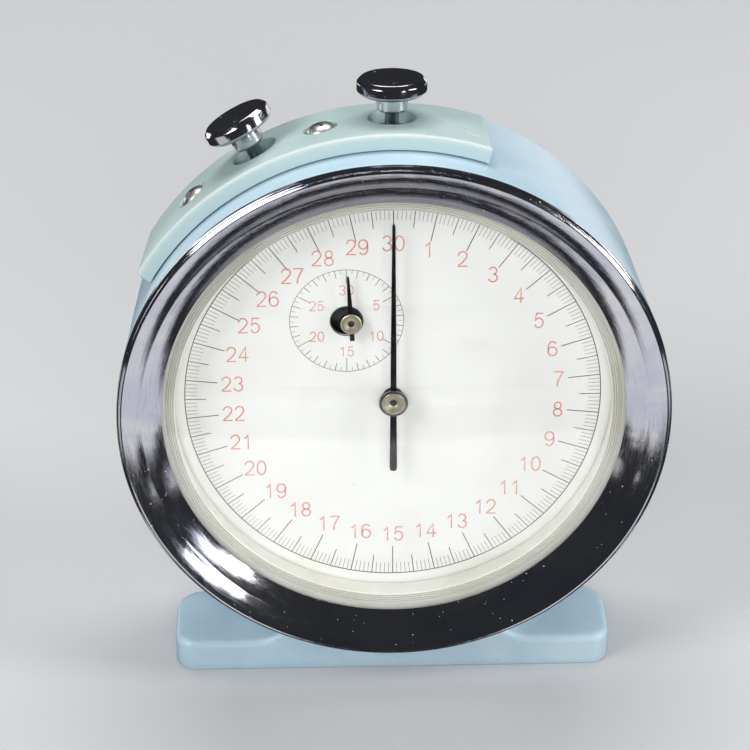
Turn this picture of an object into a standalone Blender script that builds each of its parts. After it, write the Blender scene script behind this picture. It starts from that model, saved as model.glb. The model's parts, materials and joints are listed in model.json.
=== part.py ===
"""Mechanical desk stop clock: a drum case on a moulded foot, chromed bezel, two push
buttons on a curved cover strip, and a wind-up movement with two hands.
Metres, +Z up, the dial faces -Y. The origin is on the underside of the foot,
straight below the centre of the dial."""
import math
import bmesh
import bpy
from mathutils import Matrix, Vector

MM = 0.001

# ---- driving dimensions, in millimetres and degrees ----
DIAL_HEIGHT = 67.1          # centre of the dial above the table
LEAN = 4.0                  # the whole drum leans back by this angle
FRONT_R = 58.5              # drum radius at DRUM_REF_Y
DRUM_REF_Y = -4.0
DRUM_TAPER = 0.062          # radius lost per millimetre of depth
DRUM_FRONT = -9.2           # depths are measured back from the face of the dial
DRUM_BACK = 29.2
WALL_R = 55.8               # inside radius of the front pocket
CAVITY_R = 53.6
LEDGE_R = 45.2
BEZEL_R = 58.9
OPENING_R = 49.5            # clear opening of the bezel
DIAL_R = 50.0
FOOT_W = 97.2
FOOT_FRONT = -8.1
FOOT_BACK = 12.6
FOOT_H = 7.4
HEEL_BACK = 24.0
STRIP_LEFT = -60.3          # ends of the button strip, clockwise from the top
STRIP_RIGHT = 19.5
STRIP_FRONT = -2.0
STRIP_BACK = 20.0
STRIP_R = 62.1              # radius of its front edge
STRIP_TAPER = 0.096
BUTTON_Y = 10.0
BUTTON_LEAN = 5.5
START_ANGLE = 0.0
RESET_ANGLE = -28.3
BUTTON_R = 7.35
BUTTON_TRAVEL = 3.0
SCREW_ANGLES = (-14.2, -43.7)
GAP = 0.3
DRUM_STEPS = 52

# arbor centres in the plane of the dial, (right, up)
SECONDS = (0.0, 0.0)
MINUTES = (-8.95, 18.6)
MINUTES_WINDOW = (-9.9, 18.4)  # opening in the dial round the small hand's arbor
COUNTER = (1.71, 11.77)
THIRD = (10.46, -8.77)
BARREL = (22.62, -17.29)
ESCAPE = (-10.85, -3.95)
PALLET = (-15.86, -9.93)
BALANCE = (-20.86, -18.59)
HAMMER = (-27.0, 14.0)
BRAKE = (-31.0, 16.0)
CLICK = (8.2, -27.6)

FRONT_PLATE = (2.6, 4.0)    # front and back faces of the movement plates
REAR_PLATE = (19.0, 20.5)
FRONT_PLATE_R = 50.0
REAR_PLATE_R = 43.0
PILLAR_R = 40.5
PILLAR_ANGLES = (40.0, 168.0, 222.0, 290.0)

for old in list(bpy.data.objects):
    bpy.data.objects.remove(old, do_unlink=True)

scene_root = bpy.context.scene.collection
parts = bpy.data.collections.new("desk_stop_clock")
scene_root.children.link(parts)
cutters = bpy.data.collections.new("cutters")
scene_root.children.link(cutters)


def material(name, color, metallic=0.0, roughness=0.5, alpha=1.0):
    mat = bpy.data.materials.new(name)
    mat.use_nodes = True
    node = mat.node_tree.nodes["Principled BSDF"]
    node.inputs["Base Color"].default_value = (*color, 1.0)
    node.inputs["Metallic"].default_value = metallic
    node.inputs["Roughness"].default_value = roughness
    node.inputs["Alpha"].default_value = alpha
    return mat


LOOKS = {
    "blue": ((0.47, 0.66, 0.78), 0.0, 0.4),
    "sage": ((0.46, 0.61, 0.61), 0.0, 0.45),
    "cream": ((0.72, 0.70, 0.64), 0.0, 0.5),
    "white": ((0.85, 0.85, 0.83), 0.0, 0.4),
    "chrome": ((0.80, 0.80, 0.82), 1.0, 0.08),
    "steel": ((0.45, 0.46, 0.48), 1.0, 0.3),
    "blued": ((0.05, 0.06, 0.10), 0.8, 0.3),
    "brass": ((0.70, 0.55, 0.28), 1.0, 0.3),
    "clear": ((0.95, 0.97, 0.97), 0.0, 0.02),
}


def add(name, data, look, parent=None, at=(0, 0, 0), turn=(0, 0, 0), home=None):
    """Put mesh or curve data in the scene as one named piece."""
    obj = bpy.data.objects.new(name, data)
    (home or parts).objects.link(obj)
    obj.parent = parent
    obj.location = Vector(at) * MM
    obj.rotation_euler = [math.radians(a) for a in turn]
    if look:
        color, metallic, roughness = LOOKS[look]
        data.materials.append(material(name + "_look", color, metallic, roughness,
                                       0.25 if look == "clear" else 1.0))
    return obj


def empty(name, parent=None, at=(0, 0, 0), turn=(0, 0, 0)):
    return add(name, None, None, parent, at, turn)


# the leaning frame of the drum: X right, Y back, Z up the dial
lean = empty("drum_axis", at=(0, 0, DIAL_HEIGHT), turn=(-LEAN, 0, 0))
FACE_ON = (90.0, 0.0, 0.0)       # local +Z of a turned or flat piece points to the viewer


def turned_mesh(name, profile, steps):
    """Screw a profile of (radius, forward) points, outer side first, front to back."""
    mesh = bpy.data.meshes.new(name)
    bm = bmesh.new()
    verts = [bm.verts.new((r * MM, 0, f * MM)) for r, f in profile]
    for a, b in zip(verts, verts[1:]):
        bm.edges.new((a, b))
    if profile[0][0] > 0.0 or profile[-1][0] > 0.0:
        bm.edges.new((verts[-1], verts[0]))
    bm.to_mesh(mesh)
    bm.free()
    return mesh


def turned(name, profile, look, parent=None, at=(0, 0, 0), turn=(0, 0, 0), steps=24,
           home=None):
    """A solid of revolution about its own Z. Profile is (radius, height) in millimetres."""
    obj = add(name, turned_mesh(name, profile, steps), look, parent, at, turn, home)
    screw = obj.modifiers.new("turn", "SCREW")
    screw.axis = "Z"
    screw.angle = math.tau
    screw.steps = steps
    screw.render_steps = steps
    screw.use_merge_vertices = True
    screw.merge_threshold = 0.00001
    screw.use_smooth_shade = True
    return obj


def dial_turned(name, profile, look, center=(0, 0), steps=24, parent=None, home=None):
    """Turned about an axis square to the dial; profile is (radius, depth behind it)."""
    forward = [(r, -y) for r, y in profile]
    at = (center[0], 0, center[1]) if parent is None else (0, 0, 0)
    return turned(name, forward, look, parent or lean, at, FACE_ON, steps, home)


def circle(radius, count, center=(0.0, 0.0)):
    return [(center[0] + radius * math.cos(math.tau * i / count),
             center[1] + radius * math.sin(math.tau * i / count)) for i in range(count)]


def flat_curve(name, outlines, thickness):
    """A flat plate: closed outlines, the first the outside and the others its holes."""
    curve = bpy.data.curves.new(name, "CURVE")
    curve.dimensions = "2D"
    curve.fill_mode = "BOTH"
    curve.extrude = thickness / 2 * MM
    for outline in outlines:
        spline = curve.splines.new("POLY")
        spline.points.add(len(outline) - 1)
        for point, (x, y) in zip(spline.points, outline):
            point.co = (x * MM, y * MM, 0.0, 1.0)
        spline.use_cyclic_u = True
    return curve


def plate(name, outlines, depth, look, parent=None, center=(0, 0), spin=0.0):
    """A flat piece parallel to the dial between two depths, on the axis `center`."""
    front, back = depth
    curve = flat_curve(name, outlines, back - front)
    at = (center[0], (front + back) / 2, center[1])
    obj = add(name, curve, look, parent or lean, at, FACE_ON)
    obj.rotation_euler = (Matrix.Rotation(math.radians(spin), 3, "Y")
                          @ Matrix.Rotation(math.radians(90), 3, "X")).to_euler()
    return obj


def to_mesh(obj):
    """Turn a curve piece into an equal mesh piece with its caps welded."""
    bpy.context.view_layer.update()
    graph = bpy.context.evaluated_depsgraph_get()
    mesh = bpy.data.meshes.new_from_object(obj.evaluated_get(graph))
    bm = bmesh.new()
    bm.from_mesh(mesh)
    bmesh.ops.remove_doubles(bm, verts=bm.verts, dist=0.000002)
    bmesh.ops.recalc_face_normals(bm, faces=bm.faces)
    bm.to_mesh(mesh)
    bm.free()
    name, world, parent, home = obj.name, obj.matrix_world.copy(), obj.parent, obj.users_collection[0]
    bpy.data.objects.remove(obj, do_unlink=True)
    new = bpy.data.objects.new(name, mesh)
    home.objects.link(new)
    new.parent = parent
    new.matrix_world = world
    return new


def as_cutter(obj):
    for home in list(obj.users_collection):
        home.objects.unlink(obj)
    cutters.objects.link(obj)
    obj.hide_render = True
    obj.display_type = "WIRE"
    return obj


def boolean(obj, other, operation="DIFFERENCE"):
    mod = obj.modifiers.new(operation.lower() + "_" + other.name, "BOOLEAN")
    mod.operation = operation
    mod.object = other
    return mod


def bevel(obj, width, segments=2, angle=30.0):
    mod = obj.modifiers.new("soft_edges", "BEVEL")
    mod.width = width * MM
    mod.segments = segments
    mod.limit_method = "ANGLE"
    mod.angle_limit = math.radians(angle)
    return mod


def radial_frame(name, angle, y=BUTTON_Y, tilt=BUTTON_LEAN, radius=0.0):
    """An empty whose +Z runs outward along a button axis, on the strip's surface normal."""
    a, t = math.radians(angle), math.radians(tilt)
    out = Vector((math.sin(a) * math.cos(t), math.sin(t), math.cos(a) * math.cos(t)))
    surface = STRIP_R - STRIP_TAPER * (y - STRIP_FRONT)
    foot = Vector((math.sin(a) * surface, y, math.cos(a) * surface))
    side = Vector((math.cos(a), 0.0, -math.sin(a)))
    back = out.cross(side)
    holder = empty(name, lean)
    holder.rotation_euler = Matrix((side, back, out)).transposed().to_euler()
    holder.location = foot * MM
    return holder


def rod_cutter(name, parent, radius, z0, z1, steps=20):
    obj = turned(name, [(0, z1), (radius, z1), (radius, z0), (0, z0)], None, parent,
                 steps=steps, home=cutters)
    return as_cutter(obj)


def rounded_box_outline(x0, x1, y0, y1, radii, count=5):
    """Corner radii run: right front, right back, left back, left front."""
    corners = ((x1, y0, -90, radii[0]), (x1, y1, 0, radii[1]),
               (x0, y1, 90, radii[2]), (x0, y0, 180, radii[3]))
    points = []
    for cx, cy, start, r in corners:
        mx = cx - r if cx > 0 else cx + r
        my = cy - r if cy == y1 else cy + r
        for i in range(count + 1):
            a = math.radians(start + 90 * i / count)
            points.append((mx + r * math.cos(a), my + r * math.sin(a)))
    return points


# ---- button axes ----
start_axis = radial_frame("start_axis", START_ANGLE)
reset_axis = radial_frame("reset_axis", RESET_ANGLE)
screw_axes = [radial_frame("screw_axis_%d" % (i + 1), a, y=9.2)
              for i, a in enumerate(SCREW_ANGLES)]


# ---- case: the drum, its foot and the cradle between them, moulded as one ----
def drum_radius(y):
    return FRONT_R - DRUM_TAPER * (y - DRUM_REF_Y)


case_profile = [(0, DRUM_FRONT), (drum_radius(DRUM_FRONT) - 0.3, DRUM_FRONT),
                (drum_radius(DRUM_FRONT + 0.3), DRUM_FRONT + 0.3),
                (drum_radius(26.0), 26.0), (drum_radius(27.2) - 0.35, 27.3),
                (drum_radius(28.4) - 1.3, 28.5), (53.6, DRUM_BACK), (0, DRUM_BACK)]
case_body = dial_turned("case_body", case_profile, "blue", steps=DRUM_STEPS)

foot = to_mesh(add("foot", flat_curve("foot", [rounded_box_outline(
    -FOOT_W / 2, FOOT_W / 2, FOOT_FRONT, FOOT_BACK, (4.5, 6.5, 6.5, 4.5))], 2 * FOOT_H),
    None))
as_cutter(foot)
bevel(foot, 1.5, 2, 60)
bpy.ops.mesh.primitive_cube_add(size=1)
table = bpy.context.object
table.name = "table_cut"
for home in list(table.users_collection):
    home.objects.unlink(table)
cutters.objects.link(table)
table.hide_render = True
table.display_type = "WIRE"
table.scale = (0.2, 0.2, 0.05)
table.location = (0, 0, -0.025)

# cradle: rises from the foot in a hollow curve on each side and meets the drum's wall
half = [(34.5, -5.0), (34.5, FOOT_H - 1.2)]
for i in range(1, 8):
    t = i / 7
    half.append((34.5 - 14.0 * t, FOOT_H - 1.2 + 1.0 * t + 6.8 * t ** 2.2))
seat = math.asin(20.0 / 57.3)
arc = [(57.3 * math.sin(seat * (1 - 2 * i / 12)), DIAL_HEIGHT - 57.3 * math.cos(seat * (1 - 2 * i / 12)))
       for i in range(13)]
outline = half + arc + [(-x, z) for x, z in reversed(half)]
cradle = add("cradle", flat_curve("cradle", [outline], HEEL_BACK - FOOT_FRONT - 0.02), None,
             at=(0, (HEEL_BACK + FOOT_FRONT) / 2 + 0.01, 0), turn=FACE_ON)
cradle = as_cutter(to_mesh(cradle))

pocket_profile = [(0, DRUM_FRONT - 2), (WALL_R, DRUM_FRONT - 2), (WALL_R, 4.3), (LEDGE_R, 4.3),
                  (LEDGE_R, 6.2), (CAVITY_R, 6.2), (CAVITY_R, 24.8), (47.0, 24.8), (47.0, 26.4),
                  (50.2, 26.4), (50.2, DRUM_BACK + 2), (0, DRUM_BACK + 2)]
pocket = as_cutter(dial_turned("pocket", pocket_profile, None, steps=DRUM_STEPS, home=cutters))
boolean(case_body, foot, "UNION")
boolean(case_body, cradle, "UNION")
boolean(case_body, table)
boolean(case_body, pocket)
for label, axis in (("start", start_axis), ("reset", reset_axis)):
    boolean(case_body, rod_cutter(label + "_bore", axis, 1.9, -14, 3, 16))
for i, axis in enumerate(screw_axes):
    boolean(case_body, rod_cutter("strip_screw_bore_%d" % (i + 1), axis, 1.2, -14, 3, 12))

COVER_SCREW_R = 48.3
COVER_ANGLES = (90.0, 210.0, 330.0)
for i, a in enumerate(COVER_ANGLES):
    c = (COVER_SCREW_R * math.cos(math.radians(a)), COVER_SCREW_R * math.sin(math.radians(a)))
    hole = dial_turned("cover_bore_%d" % (i + 1), [(0, 24.0), (0.9, 24.0), (0.9, 28.0), (0, 28.0)],
                       None, c, 12, home=cutters)
    boolean(case_body, as_cutter(hole))

# ---- back cover with three screws and the winding hole ----
cover_holes = [circle(1.0, 12, (COVER_SCREW_R * math.cos(math.radians(a)),
                                COVER_SCREW_R * math.sin(math.radians(a)))) for a in COVER_ANGLES]
plate("rear_cover", [circle(49.8, 48), circle(3.6, 20, BARREL)] + cover_holes,
      (26.7, 28.3), "blue")
for i, a in enumerate(COVER_ANGLES):
    c = (COVER_SCREW_R * math.cos(math.radians(a)), COVER_SCREW_R * math.sin(math.radians(a)))
    dial_turned("rear_cover_screw_%d" % (i + 1),
                [(0, 24.4), (0.6, 24.4), (0.6, 28.6), (1.25, 28.6), (1.25, 29.3), (0.8, 29.7), (0, 29.7)],
                "steel", c, 12)

# ---- bezel, crystal, spacer ring, dial ----
dial_turned("bezel_ring", [(53.75, -9.75), (55.1, -10.75), (56.5, -11.4), (57.9, -11.75), (58.4, -11.4),
                           (58.4, -10.9), (BEZEL_R, -10.8), (BEZEL_R, -9.5), (55.5, -9.5), (55.5, -7.3),
                           (OPENING_R, -7.3), (OPENING_R, -7.5), (50.9, -8.55), (52.3, -9.3)],
            "chrome", steps=DRUM_STEPS)
dial_turned("crystal", [(0, -9.2), (26, -8.85), (48.6, -7.4), (48.9, -7.0), (53.5, -7.0),
                        (53.5, -6.0), (48.0, -6.0), (26, -7.7), (0, -8.05)], "clear", steps=36)
dial_turned("dial_spacer_ring", [(46.9, -5.7), (55.4, -5.7), (55.4, -0.3), (47.2, -0.3), (47.2, -0.9),
                                 (46.6, -5.4)],
            "cream", steps=44)
plate("dial_plate", [circle(DIAL_R, 48), circle(2.2, 16), circle(3.45, 24, MINUTES_WINDOW)],
      (0.0, 0.6), "white")
for i, a in enumerate((55.0, 235.0)):
    c = (45.0 * math.cos(math.radians(a)), 45.0 * math.sin(math.radians(a)))
    dial_turned("dial_foot_%d" % (i + 1), [(0, 0.9), (1.2, 0.9), (1.2, 2.3), (0, 2.3)], "brass", c, 12)

# ---- button strip ----
strip_mesh = bpy.data.meshes.new("button_strip")
bm = bmesh.new()
strip_profile = [(STRIP_FRONT, STRIP_R), (STRIP_BACK, STRIP_R - STRIP_TAPER * (STRIP_BACK - STRIP_FRONT)),
                 (STRIP_BACK, drum_radius(STRIP_BACK) + GAP), (STRIP_FRONT, drum_radius(STRIP_FRONT) + GAP)]
face = bm.faces.new([bm.verts.new((0, y * MM, r * MM)) for y, r in strip_profile])
bmesh.ops.rotate(bm, verts=bm.verts, cent=(0, 0, 0),
                 matrix=Matrix.Rotation(math.radians(STRIP_LEFT), 3, "Y"))
bmesh.ops.spin(bm, geom=[face] + list(face.edges) + list(face.verts), cent=(0, 0, 0), axis=(0, 1, 0),
               angle=math.radians(STRIP_RIGHT - STRIP_LEFT), steps=16)
bmesh.ops.recalc_face_normals(bm, faces=bm.faces)
bm.to_mesh(strip_mesh)
bm.free()
strip = add("button_strip", strip_mesh, "sage", lean)
bevel(strip, 0.5, 1, 40)
for label, axis in (("start", start_axis), ("reset", reset_axis)):
    boolean(strip, rod_cutter(label + "_window", axis, 5.0, -8, 4, 20))
for i, axis in enumerate(screw_axes):
    boolean(strip, rod_cutter("screw_recess_%d" % (i + 1), axis, 3.6, -1.7, 4, 16))
    boolean(strip, rod_cutter("screw_hole_%d" % (i + 1), axis, 1.4, -8, 0, 12))
for i, axis in enumerate(screw_axes):
    turned("strip_screw_%d" % (i + 1), [(0, 0.35), (1.6, 0.1), (2.8, -0.5), (3.1, -1.4), (0.9, -1.4), (0.9, -8.6),
                                        (0, -8.6)], "chrome", axis, steps=16)


# ---- push buttons: domed head, collar, stem and the shoulder that works its lever ----
def button(name, axis, nub):
    profile = [(0, 8.6), (BUTTON_R - 0.9, 8.6), (BUTTON_R, 7.9), (BUTTON_R, 5.9), (BUTTON_R - 0.9, 5.2),
               (3.3, 5.2), (3.3, 1.6), (1.5, 1.6), (1.5, -19.8), (3.4, -19.8), (3.4, -20.8), (0.85, -20.8),
               (0.85, nub), (0, nub)]
    return turned(name, profile, "chrome", axis, steps=20)


def coil_spring(name, axis, z0, z1, radius, wire, turns):
    curve = bpy.data.curves.new(name, "CURVE")
    curve.dimensions = "3D"
    curve.bevel_depth = wire * MM
    curve.bevel_resolution = 1
    curve.use_fill_caps = True
    spline = curve.splines.new("POLY")
    count = turns * 8
    spline.points.add(count)
    for i, point in enumerate(spline.points):
        a = math.tau * i / 8
        z = z0 + wire + (z1 - z0 - 2 * wire) * i / count
        point.co = (radius * math.cos(a) * MM, radius * math.sin(a) * MM, z * MM, 1.0)
    return add(name, curve, "steel", axis)


def guide_block(name, axis):
    """A block behind the front plate: a cup that holds the foot of the return spring."""
    obj = turned(name, [(3.15, -26.2), (2.85, -29.6), (0, -29.6), (0, -27.4), (2.0, -27.4), (2.0, -26.2)],
                 "brass", axis, steps=16)
    return obj


button("start_button", start_axis, -22.4)
button("reset_button", reset_axis, -21.2)
coil_spring("start_button_spring", start_axis, -27.1, -21.1, 1.3, 0.2, 4)
coil_spring("reset_button_spring", reset_axis, -27.1, -21.1, 1.3, 0.2, 4)
guide_block("start_spring_cup", start_axis)
guide_block("reset_spring_cup", reset_axis)

# ---- movement plates and pillars ----
AXES = (MINUTES, COUNTER, THIRD, ESCAPE, PALLET, BALANCE)
plate_holes = [circle(0.9, 10, c) for c in AXES]
plate("front_plate", [circle(FRONT_PLATE_R, 40), circle(1.5, 12), circle(1.9, 12, BARREL)] + plate_holes[:],
      FRONT_PLATE, "brass")
plate("rear_plate", [circle(REAR_PLATE_R, 32), circle(1.5, 12), circle(2.6, 12, BARREL)] + plate_holes,
      REAR_PLATE, "brass")
for i, a in enumerate(PILLAR_ANGLES):
    c = (PILLAR_R * math.cos(math.radians(a)), PILLAR_R * math.sin(math.radians(a)))
    dial_turned("plate_pillar_%d" % (i + 1), [(0, FRONT_PLATE[1] + GAP), (1.9, FRONT_PLATE[1] + GAP),
                                              (1.9, REAR_PLATE[0] - GAP), (0, REAR_PLATE[0] - GAP)],
                "brass", c, 12)


# ---- wheels ----
def gear_outline(teeth, root, tip):
    points = []
    for i in range(teeth):
        for k, r in ((0.0, root), (0.5, tip)):
            a = math.tau * (i + k) / teeth
            points.append((r * math.cos(a), r * math.sin(a)))
    return points


def wheel(name, center, teeth, root, tip, hole, depth, look="brass", windows=0, rim=0.0):
    outlines = [gear_outline(teeth, root, tip), circle(hole, 12)]
    for k in range(windows):
        a0 = math.tau * k / windows + 0.16
        a1 = math.tau * (k + 1) / windows - 0.16
        outer = [(rim * math.cos(a0 + (a1 - a0) * i / 3), rim * math.sin(a0 + (a1 - a0) * i / 3)) for i in range(4)]
        inner = [(hole + 2.2) * math.cos((a0 + a1) / 2), (hole + 2.2) * math.sin((a0 + a1) / 2)]
        outlines.append(outer + [tuple(inner)])
    return plate(name, outlines, depth, look, center=center)


def arbor(name, center, sections):
    """Stepped arbor: (radius, from depth, to depth) sections, front to back."""
    profile = [(0, sections[0][1])]
    for radius, front, back in sections:
        profile += [(radius, front), (radius, back)]
    profile.append((0, sections[-1][2]))
    return dial_turned(name, profile, "steel", center, 8)


arbor("seconds_arbor", SECONDS, ((0.8, -2.9, 4.4), (0.9, 4.4, 7.6), (1.4, 7.6, 9.6), (0.9, 9.6, 13.6),
                                 (1.2, 13.6, 15.8), (0.9, 15.8, 20.2)))
wheel("seconds_wheel", SECONDS, 60, 10.0, 10.7, 1.2, (16.6, 17.6), windows=4, rim=8.8)
arbor("minutes_arbor", MINUTES, ((0.6, -1.5, 20.2),))
wheel("minutes_wheel", MINUTES, 64, 10.5, 11.2, 0.9, (10.6, 11.6), windows=4, rim=9.3)
arbor("counter_arbor", COUNTER, ((0.6, 2.8, 7.4), (0.6, 7.4, 9.6), (1.1, 9.6, 12.4), (0.6, 12.4, 20.2)))
wheel("counter_wheel", COUNTER, 60, 9.5, 10.1, 0.9, (8.1, 9.1), windows=4, rim=8.2)
arbor("third_arbor", THIRD, ((0.6, 2.8, 5.0), (0.9, 5.0, 6.8), (0.6, 6.8, 20.2)))
wheel("third_wheel", THIRD, 72, 11.4, 12.1, 0.9, (14.2, 15.2), windows=4, rim=10.2)
arbor("escape_arbor", ESCAPE, ((0.6, 2.8, 15.9), (0.55, 15.9, 20.2)))
wheel("escape_wheel", ESCAPE, 15, 4.4, 6.0, 0.9, (10.4, 11.2))
arbor("pallet_arbor", PALLET, ((0.5, 2.8, 20.2),))
arbor("balance_staff", BALANCE, ((0.5, 2.8, 9.6), (1.3, 9.6, 10.6), (0.9, 10.6, 12.0), (0.6, 12.0, 20.2)))

rim_in, rim_out = 7.6, 9.4
arms = []
for side in (0.0, math.pi):
    a0, a1 = side + 0.16, side + math.pi - 0.16
    points = [(rim_in * math.cos(a0 + (a1 - a0) * i / 8), rim_in * math.sin(a0 + (a1 - a0) * i / 8)) for i in range(9)]
    b0, b1 = side + 0.62, side + math.pi - 0.62
    points += [(1.9 * math.cos(b1 - (b1 - b0) * i / 3), 1.9 * math.sin(b1 - (b1 - b0) * i / 3)) for i in range(4)]
    arms.append(points)
plate("balance_wheel", [circle(rim_out, 32), circle(0.9, 10)] + arms, (12.4, 13.8), "brass", center=BALANCE)


def spiral_outline(r0, r1, turns, steps, thickness):
    count = int(turns * steps)
    inner, outer = [], []
    for i in range(count + 1):
        a = math.tau * i / steps
        r = r0 + (r1 - r0) * i / count
        inner.append(((r - thickness / 2) * math.cos(a), (r - thickness / 2) * math.sin(a)))
        outer.append(((r + thickness / 2) * math.cos(a), (r + thickness / 2) * math.sin(a)))
    return inner + outer[::-1]


plate("hairspring", [spiral_outline(1.6, 4.6, 4, 12, 0.16)], (15.0, 15.5), "blued", center=BALANCE)

# pallet fork: a lever between the escape wheel and the balance staff
fork_axis = math.degrees(math.atan2(BALANCE[1] - PALLET[1], BALANCE[0] - PALLET[0]))
fork = [(7.3, 0.9), (8.0, 1.6), (6.6, 1.1), (1.4, 0.7), (0.4, 3.4), (-1.0, 3.2), (-1.2, 1.0),
        (-1.2, -1.0), (-1.0, -3.2), (0.4, -3.4), (1.4, -0.7), (6.6, -1.1), (8.0, -1.6), (7.3, -0.9), (6.7, 0.0)]
plate("pallet_fork", [fork, circle(0.75, 10)], (10.2, 11.3), "steel", center=PALLET, spin=-fork_axis)

# ---- mainspring barrel, ratchet and winding ----
wheel("barrel_wheel", BARREL, 60, 12.9, 13.6, 2.3, (5.2, 6.4))
dial_turned("barrel_drum", [(12.4, 6.7), (12.4, 13.6), (2.3, 13.6), (2.3, 12.6), (11.6, 12.6), (11.6, 6.7)],
            "brass", BARREL, 24)
plate("mainspring", [spiral_outline(3.3, 11.0, 5, 12, 0.5)], (7.0, 12.3), "blued", center=BARREL)
dial_turned("winding_arbor", [(0, 2.8), (1.5, 2.8), (1.5, 4.6), (1.9, 4.6), (1.9, 18.6), (2.2, 18.6), (2.2, 22.9),
                              (1.5, 22.9), (1.5, 34.0), (0, 34.0)], "steel", BARREL, 12)
ratchet = []
for i in range(20):
    a = math.tau * i / 20
    ratchet += [(7.4 * math.cos(a), 7.4 * math.sin(a)),
                (8.6 * math.cos(a + 0.05), 8.6 * math.sin(a + 0.05))]
plate("ratchet_wheel", [ratchet, circle(2.5, 14)], (21.2, 22.6), "steel", center=BARREL)
toward = math.degrees(math.atan2(BARREL[1] - CLICK[1], BARREL[0] - CLICK[0]))
click_shape = [(8.3, 0.2), (7.4, 1.5), (3.0, 1.9), (-1.4, 1.9), (-2.0, 0.0), (-1.4, -1.9), (3.0, -1.4), (7.6, -0.5)]
plate("click", [click_shape, circle(1.1, 10)], (21.2, 22.4), "steel", center=CLICK, spin=-toward)
dial_turned("click_stud", [(0, 20.8), (0.8, 20.8), (0.8, 22.7), (1.7, 22.7), (1.7, 23.5), (0, 23.5)],
            "steel", CLICK, 12)
plate("click_spring", [[(-6.2, -3.9), (-5.0, -3.9), (-4.2, -3.0), (6.4, -1.55), (6.4, -1.25), (-4.4, -2.6),
                        (-6.2, -2.6)]], (21.3, 22.1), "blued", center=CLICK, spin=-toward)

# ---- winding key on the square behind the case ----
key_hub = dial_turned("winding_key", [(3.0, 29.0), (3.0, 35.5), (0, 35.5), (0, 34.4), (1.8, 34.4), (1.8, 29.0)],
                      "brass", BARREL, 20)
wing = [(3.6, 0.6), (6.5, 3.0), (9.6, 3.4), (11.6, 0.8), (11.6, -3.4), (9.6, -5.2), (6.5, -4.6), (3.6, -2.4),
        (-3.6, -2.4), (-6.5, -4.6), (-9.6, -5.2), (-11.6, -3.4), (-11.6, 0.8), (-9.6, 3.4), (-6.5, 3.0), (-3.6, 0.6)]
key_wing = add("key_wing", flat_curve("key_wing", [wing], 1.8), None, lean,
               at=(BARREL[0], 37.0, BARREL[1]), turn=(0, 0, 0))
key_wing = as_cutter(to_mesh(key_wing))
boolean(key_hub, key_wing, "UNION")

# ---- hands and their collets ----
hand = [(-0.8, -16.2), (-0.55, -16.75), (0.0, -17.0), (0.55, -16.75), (0.8, -16.2), (0.68, -3.0), (0.62, 0.0),
        (0.62, 10.0), (0.30, 41.6), (0.0, 42.2), (-0.30, 41.6), (-0.62, 10.0), (-0.62, 0.0), (-0.68, -3.0)]
boss = circle(3.05, 16)
seconds_hand = plate("seconds_hand", [hand], (-2.75, -2.4), "blued")
seconds_hand = to_mesh(seconds_hand)
hub_disc = as_cutter(to_mesh(plate("seconds_hub", [boss, circle(1.1, 12)], (-2.76, -2.38), None)))
eye = as_cutter(dial_turned("seconds_eye", [(0, -4), (1.1, -4), (1.1, 0), (0, 0)], None, steps=12, home=cutters))
boolean(seconds_hand, hub_disc, "UNION")
boolean(seconds_hand, eye)
dial_turned("seconds_collet", [(3.15, -3.6), (3.15, -3.05), (1.1, -3.05), (1.1, -3.3), (1.9, -3.6)],
            "brass", SECONDS, 24)
minute_hand_shape = [(-0.5, -4.3), (0.5, -4.3), (0.5, 0.0), (0.48, 5.0), (0.24, 10.6),
                     (0.0, 11.1), (-0.24, 10.6), (-0.48, 5.0), (-0.5, 0.0)]
minutes_hand = to_mesh(plate("minutes_hand", [minute_hand_shape], (-1.45, -1.15), "blued", center=MINUTES,
                             spin=-4.5))
disc = as_cutter(to_mesh(plate("minutes_hub", [circle(2.5, 16), circle(0.9, 10)], (-1.46, -1.14), None,
                               center=MINUTES)))
eye2 = as_cutter(dial_turned("minutes_eye", [(0, -3), (0.9, -3), (0.9, 0), (0, 0)], None, MINUTES, 10,
                             home=cutters))
boolean(minutes_hand, disc, "UNION")
boolean(minutes_hand, eye2)
dial_turned("minutes_collet", [(2.1, -2.2), (2.1, -1.75), (0.9, -1.75), (0.9, -1.95), (1.4, -2.2)],
            "brass", MINUTES, 20)


# ---- fly-back hearts, hammer and brake ----
def heart_outline(r_min, r_max, count=20):
    points = []
    for i in range(count):
        t = 2 * i / count
        if t > 1:
            t = 2 - t
        a = math.pi / 2 - math.tau * i / count
        r = r_min + (r_max - r_min) * t
        points.append((r * math.cos(a), r * math.sin(a)))
    return points


plate("seconds_heart", [heart_outline(2.0, 3.9), circle(1.2, 10)], (4.7, 6.3), "steel", center=SECONDS)
plate("minutes_heart", [heart_outline(1.5, 2.2), circle(0.9, 10)], (4.7, 6.3), "steel", center=MINUTES)

hx, hz = HAMMER
hammer_world = [(-30.0, 12.0), (-24.0, 10.4), (-8.0, 8.2), (0.6, 7.3), (0.9, 9.0), (-12.0, 11.0), (-22.5, 15.5),
                (-22.8, 21.5), (-16.0, 23.1), (-5.8, 23.1), (-5.8, 24.6), (-16.0, 24.8), (-23.6, 24.0),
                (-23.8, 28.6), (-22.2, 29.7), (-18.15, 32.42), (-18.85, 33.64), (-24.6, 30.2), (-27.2, 28.8),
                (-27.2, 20.0), (-30.0, 16.0)]
hammer = [(x - hx, z - hz) for x, z in hammer_world]
plate("reset_hammer", [hammer, circle(1.3, 12)], (5.0, 6.0), "steel", center=HAMMER)
dial_turned("hammer_stud", [(0, 4.3), (1.0, 4.3), (1.0, 6.3), (1.9, 6.3), (1.9, 7.1), (0, 7.1)], "steel", HAMMER, 12)

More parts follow.
